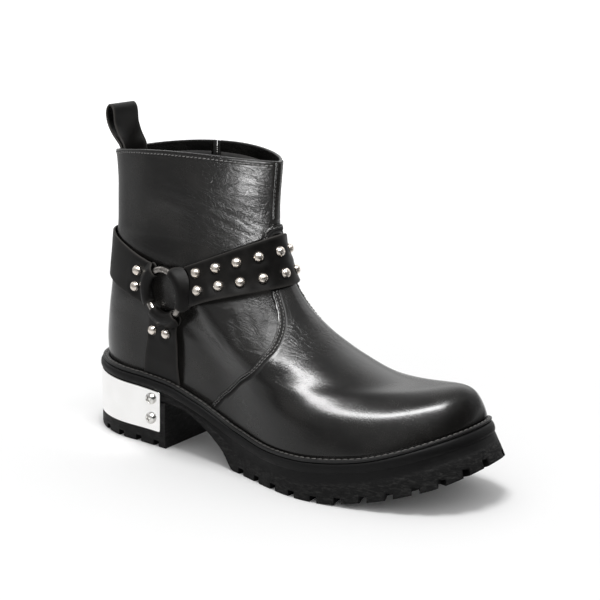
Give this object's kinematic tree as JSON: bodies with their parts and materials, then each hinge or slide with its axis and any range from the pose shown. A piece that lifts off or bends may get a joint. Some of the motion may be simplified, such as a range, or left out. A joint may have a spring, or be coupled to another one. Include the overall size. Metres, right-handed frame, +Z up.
{
  "type": "harness zip ankle boot",
  "caption": "Right leather ankle boot with ring harness, domed studs, inner zip with a swinging pull, back pull loop and notched rubber platform sole with a steel-plated heel.",
  "frame": {"origin": "on the floor under the middle of the boot's box", "axes": "+X from heel to toe, +Y to the wearer's left, which is the inner side, +Z up"},
  "size_m": [0.3184, 0.1094, 0.2377],
  "materials": {
    "leather": "glossy black",
    "strap_leather": "satin black",
    "rubber": "matt moulded black",
    "welt": "satin black, stitched",
    "insole": "matt dark leather",
    "steel": "polished",
    "nickel": "polished nickel",
    "zip": "satin nickel"
  },
  "bodies": {
    "boot": {"upper": "leather", "vamp": "leather", "front_stay": "leather", "back_stay": "leather", "front_strap": "strap_leather", "rear_strap": "strap_leather", "down_strap": "strap_leather", "pull_loop": "strap_leather", "outsole": "rubber", "heel": "rubber", "welt": "welt", "insole": "insole", "heel_plate": "steel", "heel_screw_1": "steel", "heel_screw_2": "steel", "heel_screw_3": "steel", "heel_screw_4": "steel", "ring": "nickel", "stud_top_1": "nickel", "stud_top_2": "nickel", "stud_top_3": "nickel", "stud_top_4": "nickel", "stud_top_5": "nickel", "stud_top_6": "nickel", "stud_top_7": "nickel", "stud_top_8": "nickel", "stud_top_9": "nickel", "stud_low_1": "nickel", "stud_low_2": "nickel", "stud_low_3": "nickel", "stud_low_4": "nickel", "stud_low_5": "nickel", "stud_low_6": "nickel", "stud_low_7": "nickel", "stud_low_8": "nickel", "stud_low_9": "nickel", "rivet_rear_1": "nickel", "rivet_rear_2": "nickel", "rivet_down_1": "nickel", "rivet_down_2": "nickel", "zip_chain": "zip", "zip_slider": "zip"},
    "zip_tab": {"zip_pull": "zip"}
  },
  "joints": [
    {"name": "pull_swing", "type": "hinge", "parent": "boot", "child": "zip_tab", "pos_m": [-0.08336, 0.03843, 0.19726], "axis": [0.9999, -0.0116, 0.0048], "range_deg": [0, 165]}
  ]
}
